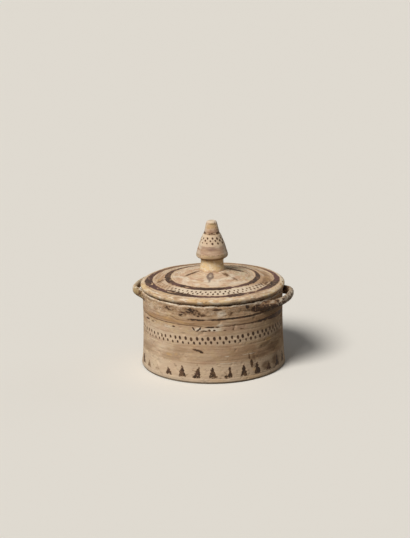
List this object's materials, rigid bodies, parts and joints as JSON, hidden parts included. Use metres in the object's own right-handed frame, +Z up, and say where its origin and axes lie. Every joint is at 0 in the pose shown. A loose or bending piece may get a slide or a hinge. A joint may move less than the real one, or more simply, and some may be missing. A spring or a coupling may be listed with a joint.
{
  "type": "pyxis",
  "caption": "Lidded cylindrical clay box with a loop handle on each side of the rim, and a domed lift-off lid with a cone knob.",
  "frame": {"origin": "middle of the underside, on the surface that the box stands on", "axes": "+Z up along the axis of the pot, +X through the right handle, so the handles lie on the X axis"},
  "size_m": [0.1418, 0.1262, 0.1265],
  "materials": {
    "bare_clay": "matt unglazed buff clay",
    "painted_clay": "matt buff clay with worn dark slip bands, dots and rays",
    "stained_clay": "matt ochre stained clay"
  },
  "bodies": {
    "pot": {"base_disc": "bare_clay", "body_wall": "painted_clay", "handle_left": "bare_clay", "handle_right": "bare_clay"},
    "lid": {"lid_plate": "painted_clay", "lid_flange": "bare_clay", "knob_stem": "stained_clay", "knob_cone": "painted_clay"}
  },
  "joints": [
    {"name": "lid_lift", "type": "slide", "parent": "pot", "child": "lid", "axis": [0, 0, 1], "range_m": [0, 0.09]}
  ]
}
